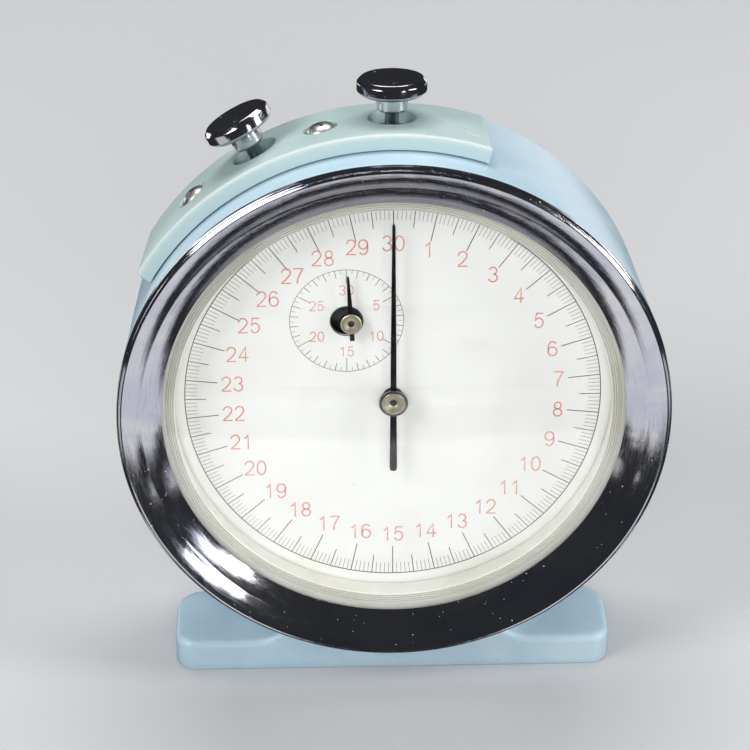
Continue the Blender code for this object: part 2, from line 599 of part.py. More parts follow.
bx, bz = BRAKE
brake_world = [(-33.0, 14.0), (-32.4, 0.0), (-32.6, -10.0), (-31.0, -14.5), (-30.4, -18.0), (-31.6, -18.0),
               (-33.6, -13.0), (-34.4, -8.0), (-35.0, 8.0), (-35.6, 18.0), (-33.5, 23.0), (-24.0, 35.0),
               (-12.0, 41.0), (2.2, 40.6), (2.2, 38.6), (-11.0, 38.6), (-22.0, 32.6), (-29.5, 22.0), (-28.5, 17.0),
               (-29.6, 14.0)]
brake_shape = [(x - bx, z - bz) for x, z in brake_world]
brake = to_mesh(plate("brake_lever", [brake_shape, circle(1.3, 12)], (12.6, 13.6), "steel", center=BRAKE))
brake_pin = dial_turned("brake_pin", [(0, 10.2), (0.9, 10.2), (0.9, 13.1), (0, 13.1)], None, (0.4, 39.0), 10,
                        home=cutters)
boolean(brake, as_cutter(brake_pin), "UNION")
dial_turned("brake_stud", [(0, 11.4), (1.9, 11.4), (1.9, 12.3), (1.0, 12.3), (1.0, 18.7), (0, 18.7)],
            "steel", BRAKE, 12)
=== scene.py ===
import json
import math

import bmesh
import bpy
from mathutils import Matrix, Vector


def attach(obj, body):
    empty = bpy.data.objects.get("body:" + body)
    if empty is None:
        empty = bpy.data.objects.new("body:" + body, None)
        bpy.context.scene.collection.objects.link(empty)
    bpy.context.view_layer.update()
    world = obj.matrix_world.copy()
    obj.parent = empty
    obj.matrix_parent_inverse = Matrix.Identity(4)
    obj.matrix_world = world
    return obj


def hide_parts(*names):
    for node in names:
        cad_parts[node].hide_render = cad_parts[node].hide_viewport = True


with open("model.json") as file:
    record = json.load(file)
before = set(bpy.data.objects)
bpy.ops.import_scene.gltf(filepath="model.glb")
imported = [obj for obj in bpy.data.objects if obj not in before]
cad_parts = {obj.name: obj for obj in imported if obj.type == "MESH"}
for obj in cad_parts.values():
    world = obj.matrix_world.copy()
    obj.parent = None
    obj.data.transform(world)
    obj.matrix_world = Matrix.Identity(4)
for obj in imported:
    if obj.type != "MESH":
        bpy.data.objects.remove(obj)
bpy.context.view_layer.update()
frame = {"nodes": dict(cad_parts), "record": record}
scene = bpy.context.scene

# ------------------------------------------------------------------ sizes, in millimetres
# Drum frame: x to the right, y back from the face of the dial, z up; origin at the dial's centre.
MM = 0.001
DIAL_HEIGHT = 67.1
LEAN_DEG = 4.0
BUTTON_Y, BUTTON_LEAN = 10.0, 5.5
DRUM_R, DRUM_TAPER = 58.5, 0.062
STRIP_R, STRIP_TAPER, STRIP_FRONT, STRIP_BACK = 62.1, 0.096, -2.0, 20.0
STRIP_DEPTH = STRIP_BACK - STRIP_FRONT
STRIP_LEFT, STRIP_RIGHT = -60.3, 19.5           # degrees clockwise from the top
STRIP_END_ROUND, MARK_R = 0.9, 2.6
MINUTES = (-8.95, 18.6)
WINDOW, WINDOW_R = (-9.9, 18.4), 3.45
BARREL = (22.62, -17.29)
COVER_SCREW_R, COVER_ANGLES = 48.3, (90.0, 210.0, 330.0)
SCALE_R, SUB_R = 44.7, 12.1                     # printed circles of seconds and minutes
BEZEL_R, OPENING_R, BEZEL_FOLD_R = 58.9, 49.5, 53.8
RING_FACE = -5.7
LENS_R, LENS_FRONT, LENS_RISE = 48.6, -9.2, 1.8
SECONDS_TIP, SECONDS_BOSS_R = 42.2, 3.05
MINUTES_TIP, MINUTES_BOSS_R, MINUTES_ANGLE = 11.1, 2.5, 3.4
HEAD_R, HEAD_TOP = 7.35, 8.38                   # push button
COVER_R, COVER_FRONT, COVER_THICKNESS = 49.8, 27.5, 1.6
FLOOR_HALF = 4000

WORLD = Matrix.Identity(4)
DRUM = Matrix.Translation((0, 0, DIAL_HEIGHT * MM)) @ Matrix.Rotation(math.radians(-LEAN_DEG), 4, "X")


def drum_radius(y):
    """Outside radius of the moulded drum, which narrows towards the back."""
    return DRUM_R - DRUM_TAPER * (y + 4.0)


def radial_frame(angle, y=BUTTON_Y):
    """Frame whose z runs outward along a button's axis, from the strip's surface."""
    a, t = math.radians(angle), math.radians(BUTTON_LEAN)
    out = Vector((math.sin(a) * math.cos(t), math.sin(t), math.cos(a) * math.cos(t)))
    side = Vector((math.cos(a), 0.0, -math.sin(a)))
    surface = STRIP_R - STRIP_TAPER * (y - STRIP_FRONT)
    m = Matrix((side, out.cross(side), out)).transposed().to_4x4()
    m.translation = Vector((math.sin(a) * surface, y, math.cos(a) * surface)) * MM
    return DRUM @ m


START, RESET = radial_frame(0.0), radial_frame(-28.3)
SCREWS = [radial_frame(-14.2, 9.2), radial_frame(-43.7, 9.2)]


def facing(x, z, y=0.0):
    """Frame for a flat shape drawn in x and y, laid parallel to the dial; its z points at the viewer."""
    return DRUM @ Matrix.Translation(Vector((x, y, z)) * MM) @ Matrix.Rotation(math.radians(90), 4, "X")


# ------------------------------------------------------------------ mesh tools
def build(name, verts, faces, placed=DRUM, sharp=32.0):
    """Mesh object from millimetre vertices, shaded smooth with creases sharper than `sharp` degrees."""
    mesh = bpy.data.meshes.new(name)
    mesh.from_pydata([Vector(v) * MM for v in verts], [], faces)
    obj = bpy.data.objects.new(name, mesh)
    scene.collection.objects.link(obj)
    obj.matrix_world = placed
    tidy(obj, sharp)
    return obj


def tidy(obj, sharp=32.0):
    """Weld doubled vertices, turn the normals outward and shade smooth between creases."""
    bm = bmesh.new()
    bm.from_mesh(obj.data)
    bmesh.ops.remove_doubles(bm, verts=bm.verts, dist=0.0000015)
    bmesh.ops.dissolve_degenerate(bm, edges=bm.edges, dist=0.0000008)
    bmesh.ops.recalc_face_normals(bm, faces=bm.faces)
    for f in bm.faces:
        f.smooth = True
    bm.to_mesh(obj.data)
    bm.free()
    obj.data.set_sharp_from_angle(angle=math.radians(sharp))


def rounded(points, count=5):
    """Closed outline from (u, v, corner radius) points, with each corner turned into an arc."""
    out = []
    n = len(points)
    for i, (u, v, r) in enumerate(points):
        p = Vector((u, v))
        a = Vector(points[i - 1][:2]) - p
        b = Vector(points[(i + 1) % n][:2]) - p
        if r <= 0 or a.length < 1e-6 or b.length < 1e-6:
            out.append((u, v))
            continue
        a.normalize()
        b.normalize()
        half = a.angle(b) / 2
        reach = r / math.tan(half)
        center = p + (a + b).normalized() * (r / math.sin(half))
        s, e = p + a * reach - center, p + b * reach - center
        turn = s.angle_signed(e) if s.length > 1e-9 else 0.0
        for k in range(count + 1):
            q = s.copy()
            q.rotate(Matrix.Rotation(-turn * k / count, 2))
            out.append(tuple(center + q))
    return out


def lathe(name, outline, placed=DRUM, steps=128, along="y", center=(0.0, 0.0), sharp=32.0, closed=True):
    """Solid of revolution from (radius, position along the axis) points."""
    verts, faces, rings = [], [], []
    for r, h in outline:
        ring = []
        count = 1 if r < 1e-6 else steps
        for i in range(count):
            a = math.tau * i / steps
            c, s = r * math.cos(a), r * math.sin(a)
            ring.append(len(verts))
            u, v = center[0] + c, center[1] + s
            verts.append((u, h, v) if along == "y" else (u, v, h))
        rings.append(ring)
    pairs = list(zip(rings, rings[1:])) + ([(rings[-1], rings[0])] if closed else [])
    for a, b in pairs:
        if len(a) == 1 and len(b) == 1:
            continue
        for i in range(steps):
            j = (i + 1) % steps
            if len(a) == 1:
                faces.append((a[0], b[i], b[j]))
            elif len(b) == 1:
                faces.append((a[i], b[0], a[j]))
            else:
                faces.append((a[i], b[i], b[j], a[j]))
    return build(name, verts, faces, placed, sharp)


def flat(name, outlines, thickness, placed, edge=0.0, sharp=32.0):
    """Plate cut from closed outlines, the first its rim and the others holes, with rounded edges."""
    curve = bpy.data.curves.new(name, "CURVE")
    curve.dimensions, curve.fill_mode = "2D", "BOTH"
    curve.extrude = (thickness / 2 - edge) * MM
    curve.bevel_depth, curve.bevel_resolution = edge * MM, 2
    curve.offset = -edge * MM
    for outline in outlines:
        spline = curve.splines.new("POLY")
        spline.points.add(len(outline) - 1)
        for point, (x, y) in zip(spline.points, outline):
            point.co = (x * MM, y * MM, 0, 1)
        spline.use_cyclic_u = True
    holder = bpy.data.objects.new(name + "_outline", curve)
    scene.collection.objects.link(holder)
    bpy.context.view_layer.update()
    mesh = bpy.data.meshes.new_from_object(holder.evaluated_get(bpy.context.evaluated_depsgraph_get()))
    bpy.data.objects.remove(holder, do_unlink=True)
    bpy.data.curves.remove(curve)
    mesh.name = name
    obj = bpy.data.objects.new(name, mesh)
    scene.collection.objects.link(obj)
    obj.matrix_world = placed
    tidy(obj, sharp)
    return obj


def circle(radius, count, center=(0.0, 0.0)):
    return [(center[0] + radius * math.cos(math.tau * i / count),
             center[1] + radius * math.sin(math.tau * i / count)) for i in range(count)]


def combine(obj, others, operation, sharp=32.0):
    """Apply an exact boolean with each of the others, and remove them."""
    for other in others:
        mod = obj.modifiers.new("cut", "BOOLEAN")
        mod.operation, mod.solver, mod.object = operation, "EXACT", other
        bpy.context.view_layer.update()
        mesh = bpy.data.meshes.new_from_object(obj.evaluated_get(bpy.context.evaluated_depsgraph_get()))
        obj.modifiers.clear()
        obj.data = mesh
        bpy.data.objects.remove(other, do_unlink=True)
    tidy(obj, sharp)
    return obj


def block(name, x, y, z, placed):
    """Box cutter from three (low, high) pairs in millimetres."""
    corners = [(a, b, c) for a in x for b in y for c in z]
    sides = [(0, 1, 3, 2), (4, 6, 7, 5), (0, 4, 5, 1), (2, 3, 7, 6), (0, 2, 6, 4), (1, 5, 7, 3)]
    return build(name, corners, sides, placed)


def strokes(name, lines, top, base, placed=DRUM):
    """Printed marks: each (points, width, closed) becomes a thin raised stroke on the dial's face."""
    verts, faces = [], []
    for points, width, closed in lines:
        n = len(points)
        start = len(verts)
        for i, (x, z) in enumerate(points):
            before = points[i - 1] if i > 0 or closed else points[i]
            after = points[(i + 1) % n] if i < n - 1 or closed else points[i]
            d1 = Vector((x - before[0], z - before[1]))
            d2 = Vector((after[0] - x, after[1] - z))
            d = (d1.normalized() if d1.length > 1e-9 else Vector((0, 0))) + \
                (d2.normalized() if d2.length > 1e-9 else Vector((0, 0)))
            d = d.normalized() if d.length > 1e-6 else Vector((1, 0))
            if not closed and i in (0, n - 1):
                past_end = width * (0.3 if i else -0.3)
                x, z = x + d.x * past_end, z + d.y * past_end
            side = Vector((-d.y, d.x)) * width / 2
            side /= max(0.6, abs(d1.normalized().dot(d)) if d1.length > 1e-9 else 1.0)
            for y in (top, base):
                verts.append((x + side.x, y, z + side.y))
                verts.append((x - side.x, y, z - side.y))
        last = n if closed else n - 1
        for i in range(last):
            a, b = start + 4 * i, start + 4 * ((i + 1) % n)
            faces += [(a, a + 1, b + 1, b), (a + 2, b + 2, b + 3, a + 3),
                      (a, b, b + 2, a + 2), (a + 1, a + 3, b + 3, b + 1)]
        if not closed:
            e = start + 4 * (n - 1)
            faces += [(start, start + 2, start + 3, start + 1), (e, e + 1, e + 3, e + 2)]
    mesh = bpy.data.meshes.new(name)
    mesh.from_pydata([Vector(v) * MM for v in verts], [], faces)
    obj = bpy.data.objects.new(name, mesh)
    scene.collection.objects.link(obj)
    obj.matrix_world = placed
    return obj


# ------------------------------------------------------------------ material tools
def tree(name):
    """New material with an empty node tree."""
    mat = bpy.data.materials.new(name)
    mat.use_nodes = True
    mat.node_tree.nodes.clear()
    return mat, mat.node_tree


def node(t, kind, props=None, **inputs):
    """Node with its sockets set or linked; i0, i1 ... are sockets by number, the others go by name."""
    n = t.nodes.new(kind)
    for key, value in (props or {}).items():
        setattr(n, key, value)
    for key, value in inputs.items():
        by_number = key[0] == "i" and key[1:].isdigit()
        socket = n.inputs[int(key[1:])] if by_number else n.inputs[key.replace("_", " ")]
        if isinstance(value, bpy.types.NodeSocket):
            t.links.new(value, socket)
        else:
            socket.default_value = value
    return n


def maths(t, operation, a, b=0.0, c=0.0, clamp=False):
    props = {"operation": operation, "use_clamp": clamp}
    return node(t, "ShaderNodeMath", props, i0=a, i1=b, i2=c).outputs[0]


def spread(t, value, low, high, to_low=0.0, to_high=1.0):
    """Soft step of a value from one range to another."""
    return node(t, "ShaderNodeMapRange", {"interpolation_type": "SMOOTHSTEP"}, i0=value, i1=low, i2=high,
                i3=to_low, i4=to_high).outputs[0]


def blend(t, factor, a, b):
    return node(t, "ShaderNodeMix", {"data_type": "RGBA"}, i0=factor, i6=a, i7=b).outputs[2]


def noise(t, where, scale, detail=3.0, rough=0.55, distortion=0.0):
    return node(t, "ShaderNodeTexNoise", None, Vector=where, Scale=scale, Detail=detail, Roughness=rough,
                Distortion=distortion).outputs["Fac"]


def millimetres(t, stretch=(1000.0, 1000.0, 1000.0)):
    """The piece's own coordinates in millimetres."""
    at = node(t, "ShaderNodeTexCoord").outputs["Object"]
    return node(t, "ShaderNodeVectorMath", {"operation": "MULTIPLY"}, i0=at, i1=stretch).outputs[0]


def parts_of(t, vector):
    """The x, y and z of a vector."""
    s = node(t, "ShaderNodeSeparateXYZ", None, Vector=vector)
    return s.outputs[0], s.outputs[1], s.outputs[2]


def distance(t, a, b):
    """Length of the hypotenuse over a and b."""
    return maths(t, "SQRT", maths(t, "ADD", maths(t, "MULTIPLY", a, a), maths(t, "MULTIPLY", b, b)))


def specks(t, where, scale, size, share):
    """Round spots: 1 inside a spot, in a share of the cells."""
    cells = node(t, "ShaderNodeTexVoronoi", None, Vector=where, Scale=scale)
    near = spread(t, cells.outputs["Distance"], size, size * 0.55)
    tint = node(t, "ShaderNodeSeparateColor", None, Color=cells.outputs["Color"])
    chosen = maths(t, "LESS_THAN", tint.outputs[0], share)
    return maths(t, "MULTIPLY", near, chosen)


def bump(t, height, strength, depth):
    """Surface normal over a height pattern, `depth` in millimetres."""
    return node(t, "ShaderNodeBump", None, Strength=strength, Distance=depth * MM, Height=height).outputs[0]


def finish_surface(t, **inputs):
    """Principled surface as the material's output."""
    surface = node(t, "ShaderNodeBsdfPrincipled", None, **inputs)
    out = node(t, "ShaderNodeOutputMaterial")
    t.links.new(surface.outputs[0], out.inputs[0])


def rgb(code):
    """Linear colour from a hex code."""
    channels = [int(code[i:i + 2], 16) / 255 for i in (0, 2, 4)]
    return tuple(c / 12.92 if c <= 0.04045 else ((c + 0.055) / 1.055) ** 2.4 for c in channels) + (1.0,)


# ------------------------------------------------------------------ materials
def moulded_plastic(name, base, light, dark, rough, edge=None):
    """Satin moulded plastic: cloudy colour, orange peel, dark pinholes, fine scratches."""
    mat, t = tree(name)
    at = millimetres(t)
    cloud = noise(t, at, 0.035, 4.0, 0.6, 0.4)
    fine = noise(t, at, 0.9, 3.0, 0.6)
    color = blend(t, spread(t, cloud, 0.35, 0.68), base, light)
    color = blend(t, maths(t, "MULTIPLY", spread(t, fine, 0.42, 0.75), 0.14), color, dark)
    pits = maths(t, "ADD", specks(t, at, 0.17, 0.035, 0.42), specks(t, at, 0.42, 0.05, 0.16), clamp=True)
    color = blend(t, maths(t, "MULTIPLY", pits, 0.6), color, rgb("3F5560"))
    smear = noise(t, millimetres(t, (1400.0, 260.0, 120.0)), 0.25, 2.0, 0.7)
    scratch = spread(t, smear, 0.66, 0.71)
    roughness = maths(t, "ADD", spread(t, cloud, 0.3, 0.7, rough - 0.05, rough + 0.07),
                      maths(t, "MULTIPLY", scratch, 0.08))
    if edge:
        color = edge(t, at, color)
    peel = noise(t, at, 1.3, 2.0, 0.5)
    height = maths(t, "SUBTRACT", maths(t, "MULTIPLY", peel, 0.5), maths(t, "MULTIPLY", pits, 0.9))
    height = maths(t, "SUBTRACT", height, maths(t, "MULTIPLY", scratch, 0.12))
    finish_surface(t, Base_Color=color, Roughness=roughness, Normal=bump(t, height, 0.16, 0.08),
                   IOR=1.48)
    return mat


def worn_front_edge(t, at, color):
    """Pale rubbed line along the strip's upper front edge, and painted light: the front face painted lighter
    and cooler, standing in for light falling on it.
    """
    x, y, z = parts_of(t, at)
    r = distance(t, x, z)
    over = maths(t, "SUBTRACT", r, STRIP_R - 0.25)
    ahead = maths(t, "SUBTRACT", y, STRIP_FRONT + 0.25)
    away = distance(t, over, ahead)
    ragged = noise(t, at, 0.55, 3.0, 0.65)
    reach = maths(t, "ADD", maths(t, "MULTIPLY", ragged, 1.5), 0.1)
    rub = spread(t, maths(t, "DIVIDE", away, reach), 1.25, 0.55)
    # painted light: the front face is tinted lighter, standing in for the light that falls on it
    face = spread(t, y, STRIP_FRONT + 0.35, STRIP_FRONT + 0.05)
    color = blend(t, maths(t, "MULTIPLY", face, 0.8), color, rgb("B9CED1"))
    return blend(t, maths(t, "MULTIPLY", rub, 0.65), color, rgb("CFD8D5"))


def chrome_plate(name, tone, dust=1.0):
    """Old chrome: mirror with waves, hairline scratches, dull spots and dust."""
    mat, t = tree(name)
    at = millimetres(t)
    cloud = noise(t, at, 0.05, 3.0, 0.6, 0.6)
    x, y, z = parts_of(t, at)
    around = node(t, "ShaderNodeCombineXYZ", None, X=maths(t, "MULTIPLY", maths(t, "ARCTAN2", x, z), 9.0),
                  Y=maths(t, "MULTIPLY", y, 2.2),
                  Z=maths(t, "MULTIPLY", distance(t, x, z), 2.2)).outputs[0]
    lines = noise(t, around, 2.4, 4.0, 0.75)
    grime = maths(t, "MULTIPLY", spread(t, noise(t, around, 0.9, 5.0, 0.7, 0.5), 0.52, 0.74), 0.5)
    spots = maths(t, "ADD", specks(t, at, 0.55, 0.10, 0.26 * dust), specks(t, at, 1.2, 0.12, 0.10 * dust),
                  clamp=True)
    cooler = (tone[0] * 0.80, tone[1] * 0.80, tone[2] * 0.92, 1.0)
    tint = blend(t, spread(t, cloud, 0.35, 0.7), tone, cooler)
    tint = blend(t, maths(t, "MULTIPLY", grime, 0.35), tint, (0.16, 0.155, 0.17, 1.0))
    tint = blend(t, maths(t, "MULTIPLY", spots, 0.75), tint, (0.62, 0.62, 0.62, 1.0))
    rough = maths(t, "ADD", spread(t, lines, 0.35, 0.8, 0.04, 0.2), maths(t, "MULTIPLY", grime, 0.22))
    rough = maths(t, "ADD", rough, maths(t, "MULTIPLY", spots, 0.5), clamp=True)
    metal = maths(t, "SUBTRACT", 1.0, maths(t, "MULTIPLY", spots, 0.85))
    bands = noise(t, around, 0.5, 2.0, 0.5)
    height = maths(t, "ADD", maths(t, "MULTIPLY", cloud, 1.2), maths(t, "MULTIPLY", lines, 0.11))
    height = maths(t, "ADD", height, maths(t, "MULTIPLY", bands, 0.22))
    height = maths(t, "ADD", height, maths(t, "MULTIPLY", spots, 0.12))
    finish_surface(t, Base_Color=tint, Metallic=metal, Roughness=rough, Normal=bump(t, height, 0.22, 0.35))
    return mat


def turned_metal(name, tone, tarnish, rough, grain=1.0, center=(0.0, 0.0)):
    """Lathe-turned metal: fine rings about an axis square to the dial, tarnish in patches."""
    mat, t = tree(name)
    at = millimetres(t)
    x, y, z = parts_of(t, at)
    dx, dz = maths(t, "SUBTRACT", x, center[0]), maths(t, "SUBTRACT", z, center[1])
    r = distance(t, dx, dz)
    rings = noise(t, node(t, "ShaderNodeCombineXYZ", None, X=maths(t, "MULTIPLY", r, 7.0),
                          Y=maths(t, "MULTIPLY", y, 7.0), Z=0.0).outputs[0], 1.4, 3.0, 0.6)
    cloud = noise(t, at, 0.22, 4.0, 0.65, 0.3)
    color = blend(t, spread(t, cloud, 0.45, 0.72), tone, tarnish)
    spots = maths(t, "MULTIPLY", specks(t, at, 0.8, 0.12, 0.12), 0.5)
    color = blend(t, spots, color, (0.10, 0.08, 0.06, 1.0))
    roughness = maths(t, "ADD", spread(t, cloud, 0.35, 0.75, rough - 0.06, rough + 0.14),
                      maths(t, "MULTIPLY", rings, 0.08))
    finish_surface(t, Base_Color=color, Metallic=1.0, Roughness=roughness,
                   Normal=bump(t, rings, 0.12 * grain, 0.05))
    return mat


def brushed_metal(name, tone, tarnish, rough, stretch=(200.0, 4000.0, 200.0)):
    """Flat-ground metal with fine straight grain, heat tint and small stains."""
    mat, t = tree(name)
    at = millimetres(t)
    grain = noise(t, millimetres(t, stretch), 1.1, 3.0, 0.7)
    cloud = noise(t, at, 0.3, 3.0, 0.6, 0.4)
    color = blend(t, spread(t, cloud, 0.38, 0.7), tone, tarnish)
    color = blend(t, maths(t, "MULTIPLY", spread(t, grain, 0.5, 0.8), 0.25), color, tarnish)
    roughness = maths(t, "ADD", spread(t, cloud, 0.3, 0.7, rough - 0.05, rough + 0.1),
                      maths(t, "MULTIPLY", grain, 0.1))
    finish_surface(t, Base_Color=color, Metallic=1.0, Roughness=roughness, Normal=bump(t, grain, 0.12, 0.03))
    return mat


def painted(name, base, aged, rough, grain_scale, grain):
    """Matt enamel or printed ink: slight ageing in clouds, a fine grain and a few stains."""
    mat, t = tree(name)
    at = millimetres(t)
    cloud = noise(t, at, 0.06, 4.0, 0.6, 0.3)
    fine = noise(t, at, grain_scale, 3.0, 0.6)
    color = blend(t, spread(t, cloud, 0.4, 0.75), base, aged)
    color = blend(t, maths(t, "MULTIPLY", spread(t, fine, 0.55, 0.8), 0.25), color, aged)
    stain = maths(t, "MULTIPLY", specks(t, at, 0.11, 0.03, 0.25), 0.35)
    color = blend(t, stain, color, rgb("8C8473"))
    roughness = spread(t, fine, 0.3, 0.7, rough - 0.05, rough + 0.06)
    finish_surface(t, Base_Color=color, Roughness=roughness, Normal=bump(t, fine, grain, 0.04))
    return mat


def clear_pane(name):
    """Thin clear crystal: see-through, mirrors by angle, with dust and faint smudges."""
    mat, t = tree(name)
    at = millimetres(t)
    smudge = noise(t, at, 0.05, 4.0, 0.65, 0.6)
    dust = maths(t, "ADD", specks(t, at, 0.35, 0.03, 0.3), specks(t, at, 0.9, 0.05, 0.06), clamp=True)
    through = node(t, "ShaderNodeBsdfTransparent", None, Color=(0.985, 0.99, 0.985, 1.0))
    mirror = node(t, "ShaderNodeBsdfGlossy", None, Color=(1, 1, 1, 1),
                  Roughness=spread(t, smudge, 0.4, 0.7, 0.02, 0.07))
    grazing = node(t, "ShaderNodeLayerWeight", None, Blend=0.5).outputs["Facing"]
    share = maths(t, "ADD", maths(t, "MULTIPLY", maths(t, "POWER", grazing, 5.0), 0.9), 0.035)
    glass = node(t, "ShaderNodeMixShader", None, i0=share, i1=through.outputs[0], i2=mirror.outputs[0])
    haze = node(t, "ShaderNodeBsdfDiffuse", None, Color=(0.8, 0.8, 0.78, 1.0))
    film = maths(t, "ADD", maths(t, "MULTIPLY", dust, 0.3), spread(t, smudge, 0.5, 0.8, 0.0, 0.015),
                 clamp=True)
    mixed = node(t, "ShaderNodeMixShader", None, i0=film, i1=glass.outputs[0], i2=haze.outputs[0])
    out = node(t, "ShaderNodeOutputMaterial")
    t.links.new(mixed.outputs[0], out.inputs[0])
    return mat


BLUE = moulded_plastic("case_blue", rgb("ACC5D3"), rgb("B9CFDB"), rgb("93B1C4"), 0.34)
SAGE = moulded_plastic("strip_sage", rgb("A9BFBD"), rgb("B6CAC8"), rgb("95ADAB"), 0.40, worn_front_edge)
CHROME = chrome_plate("bezel_chrome", (0.60, 0.605, 0.63, 1.0))
CHROME_SMALL = chrome_plate("button_chrome", (0.60, 0.60, 0.62, 1.0), 0.6)
NICKEL = brushed_metal("screw_nickel", (0.72, 0.71, 0.69, 1), (0.55, 0.54, 0.52, 1), 0.3)
CRYSTAL = clear_pane("crystal_clear")
CREAM = painted("ring_cream", rgb("DEDDD6"), rgb("D0CEC3"), 0.42, 1.6, 0.08)
WHITE = painted("dial_white", rgb("F7F7F5"), rgb("F1F0EB"), 0.5, 2.2, 0.05)
INK = painted("print_dark", rgb("3C3D40"), rgb("5A5957"), 0.6, 3.0, 0.1)
INK_FINE = painted("print_grey", rgb("77787A"), rgb("929290"), 0.6, 3.0, 0.1)
RED = painted("print_red", rgb("E38F87"), rgb("EBB0A9"), 0.6, 3.0, 0.1)
HAND = brushed_metal("hand_blued", (0.035, 0.036, 0.052, 1), (0.085, 0.06, 0.075, 1), 0.3,
                     (900.0, 200.0, 60.0))
BRASS = turned_metal("collet_brass", (0.95, 0.89, 0.72, 1), (0.78, 0.69, 0.50, 1), 0.42)
BRASS_SMALL = turned_metal("collet_brass_small", (0.94, 0.87, 0.68, 1), (0.76, 0.66, 0.47, 1), 0.42,
                           center=MINUTES)
DARK_RIM = turned_metal("collet_rim", (0.34, 0.34, 0.33, 1), (0.20, 0.20, 0.20, 1), 0.34)
PLATE = turned_metal("movement_brass", (0.72, 0.56, 0.30, 1), (0.52, 0.38, 0.20, 1), 0.3, 0.8)
# painted shade: a dark metal for movement parts seen through the dial's holes, standing in for the shade
# inside them
SHADE_DARK_METAL = turned_metal("movement_painted_shade", (0.22, 0.22, 0.23, 1), (0.13, 0.125, 0.12, 1), 0.42)
STEEL = brushed_metal("movement_steel", (0.50, 0.50, 0.51, 1), (0.34, 0.33, 0.33, 1), 0.26)
SPRING = brushed_metal("spring_blued", (0.07, 0.08, 0.14, 1), (0.12, 0.09, 0.10, 1), 0.28)
KEY = turned_metal("key_nickel", (0.62, 0.56, 0.42, 1), (0.40, 0.34, 0.24, 1), 0.28, 1.2, center=BARREL)

BY_SLOT = {"case_plastic": BLUE, "strip_plastic": SAGE, "chrome": CHROME_SMALL, "crystal": CRYSTAL,
           "cream_ring": CREAM, "white_dial": WHITE, "dark_hands": HAND, "blued_steel": SPRING,
           "brass": PLATE, "steel": STEEL, "key_metal": KEY}
slot_of = {s["node"]: s["material_slot"] for s in frame["record"]["subparts"]}
# painted shade: the front plate and the arbors get the dark metal so the holes at the hands' centres look
# shaded
PAINTED_SHADE_PARTS = {"front_plate": SHADE_DARK_METAL, "seconds_arbor": SHADE_DARK_METAL, "minutes_arbor": SHADE_DARK_METAL}
for name, obj in frame["nodes"].items():
    obj.data.materials.clear()
    obj.data.materials.append(PAINTED_SHADE_PARTS.get(name, BY_SLOT[slot_of[name]]))


def place(obj, body, mat, slot, *stands_for):
    """Give a piece its material and body, and hide the CAD nodes that it stands for. The slot argument is not
    used.
    """
    obj.data.materials.clear()
    obj.data.materials.append(mat)
    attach(obj, body)
    if stands_for:
        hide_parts(*stands_for)


# ------------------------------------------------------------------ case: drum, foot and cradle in one
drum = lathe("case_shell", rounded([
    (55.8, -9.2, 0.15), (drum_radius(-9.2), -9.2, 0.45), (drum_radius(29.2), 29.2, 2.6), (50.2, 29.2, 0.5),
    (50.2, 26.4, 0.1), (47.0, 26.4, 0.2), (47.0, 24.8, 0.2), (53.6, 24.8, 0.5), (53.6, 6.2, 0.5),
    (45.2, 6.2, 0.2), (45.2, 4.3, 0.2), (55.8, 4.3, 0.3)], 6), DRUM, 240)
drum.data.transform(DRUM)
drum.matrix_world = WORLD

FOOT_HALF, FRONT, BACK, HEEL, TOP, EDGE = 48.6, -8.1, 12.6, 24.0, 7.4, 1.5


def foot_height(x):
    """Top of the foot, rising in a hollow curve into the cradle under the drum."""
    x = abs(x)
    t = (34.5 - x) / 14.0
    rise = 6.2 + t + 6.8 * max(t, 0.0) ** 2.2 if t > 0 else -5.0
    level = math.log(math.exp(TOP * 2.2) + math.exp(min(rise, 40.0) * 2.2)) / 2.2
    inside = DIAL_HEIGHT - math.sqrt(57.0 ** 2 - x * x) if x < 40 else 99.0
    return min(level, inside)


def heel_line(x):
    """Back edge of the foot: flush on the wings, further back under the drum."""
    s = min(max((37.0 - abs(x)) / 5.0, 0.0), 1.0)
    return BACK + (HEEL - BACK) * s * s * (3 - 2 * s)


def plan_side(front):
    """Points with outward normals along one long side, from the left end's middle to the right end's."""
    r = 4.5 if front else 6.5
    edge_y = FRONT if front else BACK
    mid = 1.3
    sign = -1.0 if front else 1.0
    left = []
    for i in range(4):
        left.append((-FOOT_HALF, mid + (edge_y - sign * r - mid) * i / 4, -1.0, 0.0))
    for i in range(13):
        a = math.radians(90 * i / 12)
        left.append((-FOOT_HALF + r - r * math.cos(a), edge_y - sign * r + sign * r * math.sin(a),
                     -math.cos(a), sign * math.sin(a)))
    run = []
    count = 96
    first = left[-1][0]
    for i in range(1, count):
        x = first + (-2 * first) * i / count
        if front:
            run.append((x, FRONT, 0.0, -1.0))
        else:
            slope = (heel_line(x + 0.05) - heel_line(x - 0.05)) / 0.1
            ln = math.hypot(slope, 1.0)
            run.append((x, heel_line(x), -slope / ln, 1.0 / ln))
    right = [(-x, y, -nx, ny) for x, y, nx, ny in reversed(left)]
    return left + run + right


def foot_section(x, y, nx, ny):
    """From the sole up one side wall and over its soft top edge, as (x, y, z) points."""
    out = [(x - nx * 0.5, y - ny * 0.5, 0.0), (x - nx * 0.15, y - ny * 0.15, 0.12), (x, y, 0.5)]
    h = foot_height(x)
    for k in (0.25, 0.5, 0.75):
        out.append((x, y, 0.5 + (h - EDGE - 0.5) * k))
    for k in range(0, 7):
        a = math.radians(90 * k / 6)
        inset = EDGE * (1 - math.cos(a))
        out.append((x - nx * inset, y - ny * inset, h - EDGE + EDGE * math.sin(a)))
    return out


